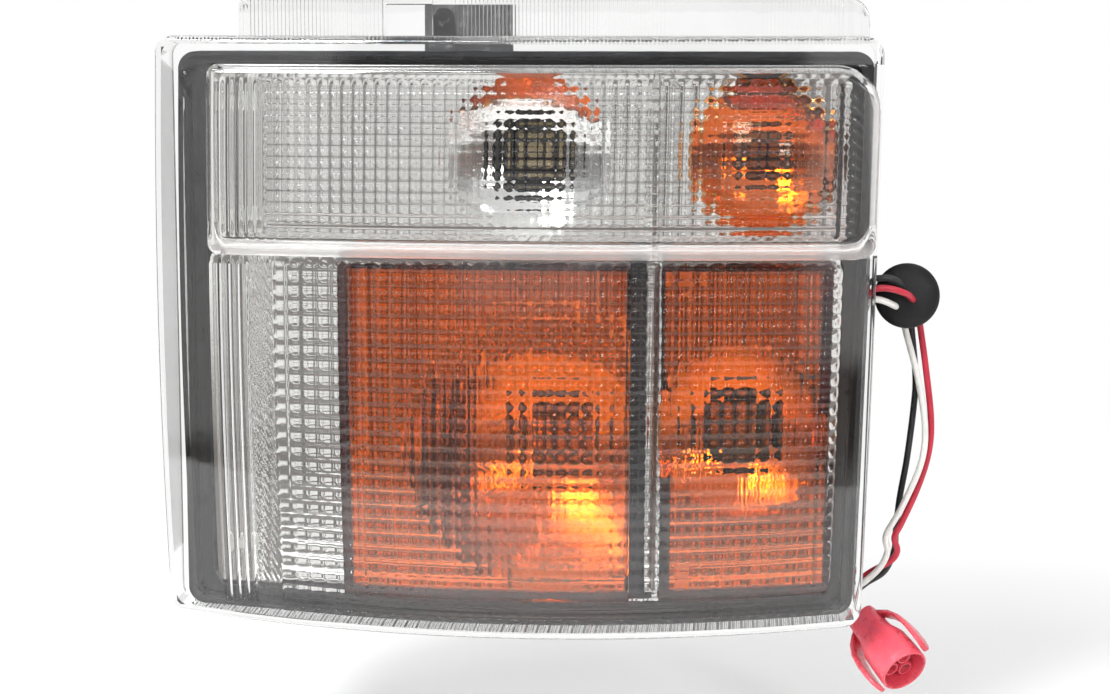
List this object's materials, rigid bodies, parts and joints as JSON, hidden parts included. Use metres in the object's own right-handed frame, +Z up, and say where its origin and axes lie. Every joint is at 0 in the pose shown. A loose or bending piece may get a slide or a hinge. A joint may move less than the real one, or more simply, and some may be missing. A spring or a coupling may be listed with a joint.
{
  "type": "vehicle corner combination lamp",
  "caption": "Front corner lamp with a stepped clear prism lens, amber inner lenses and dome, quarter-turn bulb holders, rear studs, and a wired grommet and plug.",
  "frame": {"origin": "centre of the round rear mounting pad, on its face", "axes": "+X to the right seen from the front, the lens faces -Y, +Z up"},
  "size_m": [0.2657, 0.1246, 0.2423],
  "materials": {
    "black_plastic": "moulded, lightly grained",
    "clear_lens": "clear moulded plastic with prisms behind the face",
    "black_sealant": "set black sealing compound",
    "metallised": "vacuum-metallised plastic",
    "amber_lens": "amber moulded plastic with prisms",
    "zinc_steel": "zinc plated",
    "black_painted_steel": "satin black paint",
    "black_rubber": "soft rubber",
    "black_vinyl": "soft vinyl insulation",
    "red_vinyl": "soft vinyl insulation",
    "white_vinyl": "soft vinyl insulation",
    "red_plastic": "slightly translucent red nylon",
    "tinned_brass": "tinned",
    "grey_plastic": "moulded nylon",
    "plated_steel": "nickel plated",
    "spring_steel": "drawn wire",
    "bulb_cap_brass": "nickel-plated brass cap",
    "bulb_glass": "thin blown glass",
    "filament_wire": "drawn wire"
  },
  "bodies": {
    "lamp": {"housing": "black_plastic", "outer_lens": "clear_lens", "lens_seal": "black_sealant", "upper_reflector": "metallised", "lower_reflector": "metallised", "light_baffle": "black_plastic", "amber_lens_turn": "amber_lens", "amber_lens_side": "amber_lens", "amber_dome": "amber_lens", "reflector_screws": "zinc_steel", "mounting_studs": "zinc_steel", "top_bracket": "black_painted_steel", "bracket_screws": "zinc_steel", "breather_tubes": "black_rubber", "lead_sleeves": "black_vinyl", "cable_clips": "black_plastic", "splice_boot": "black_rubber", "harness_sleeve": "black_vinyl", "wire_red": "red_vinyl", "wire_white": "white_vinyl", "wire_black": "black_vinyl", "grommet": "black_rubber", "connector_housing": "red_plastic", "connector_terminals": "tinned_brass"},
    "turn_socket": {"turn_holder": "grey_plastic", "turn_seal": "black_rubber", "turn_shell": "plated_steel", "turn_spring": "spring_steel"},
    "turn_bulb": {"turn_contact": "tinned_brass", "turn_bulb_base": "bulb_cap_brass", "turn_bulb_glass": "bulb_glass", "turn_filament": "filament_wire"},
    "side_socket": {"side_holder": "grey_plastic", "side_seal": "black_rubber", "side_shell": "plated_steel", "side_spring": "spring_steel"},
    "side_bulb": {"side_contact": "tinned_brass", "side_bulb_base": "bulb_cap_brass", "side_bulb_glass": "bulb_glass", "side_filament": "filament_wire"},
    "position_socket": {"position_holder": "grey_plastic", "position_seal": "black_rubber", "position_shell": "plated_steel", "position_spring": "spring_steel"},
    "position_bulb": {"position_contact": "tinned_brass", "position_bulb_base": "bulb_cap_brass", "position_bulb_glass": "bulb_glass", "position_filament": "filament_wire"},
    "marker_socket": {"marker_holder": "grey_plastic", "marker_seal": "black_rubber", "marker_shell": "plated_steel", "marker_spring": "spring_steel"},
    "marker_bulb": {"marker_contact": "tinned_brass", "marker_bulb_base": "bulb_cap_brass", "marker_bulb_glass": "bulb_glass", "marker_filament": "filament_wire"}
  },
  "joints": [
    {"name": "turn_release", "type": "hinge", "parent": "lamp", "child": "turn_socket", "pos_m": [0.007, -0.006, -0.039], "axis": [0, 1, 0], "range_deg": [0, 45]},
    {"name": "turn_bulb_press", "type": "slide", "parent": "turn_socket", "child": "turn_bulb", "axis": [0, 1, 0], "range_m": [0, 0.002], "stiffness_N_per_m": 1500, "deforming": ["turn_spring"]},
    {"name": "side_release", "type": "hinge", "parent": "lamp", "child": "side_socket", "pos_m": [0.072, -0.006, -0.0325], "axis": [0, 1, 0], "range_deg": [0, 45]},
    {"name": "side_bulb_press", "type": "slide", "parent": "side_socket", "child": "side_bulb", "axis": [0, 1, 0], "range_m": [0, 0.002], "stiffness_N_per_m": 1500, "deforming": ["side_spring"]},
    {"name": "position_release", "type": "hinge", "parent": "lamp", "child": "position_socket", "pos_m": [0, -0.006, 0.06], "axis": [0, 1, 0], "range_deg": [0, 45]},
    {"name": "position_bulb_press", "type": "slide", "parent": "position_socket", "child": "position_bulb", "axis": [0, 1, 0], "range_m": [0, 0.002], "stiffness_N_per_m": 1500, "deforming": ["position_spring"]},
    {"name": "marker_release", "type": "hinge", "parent": "lamp", "child": "marker_socket", "pos_m": [0.0785, -0.006, 0.061], "axis": [0, 1, 0], "range_deg": [0, 45]},
    {"name": "marker_bulb_press", "type": "slide", "parent": "marker_socket", "child": "marker_bulb", "axis": [0, 1, 0], "range_m": [0, 0.002], "stiffness_N_per_m": 1500, "deforming": ["marker_spring"]}
  ]
}
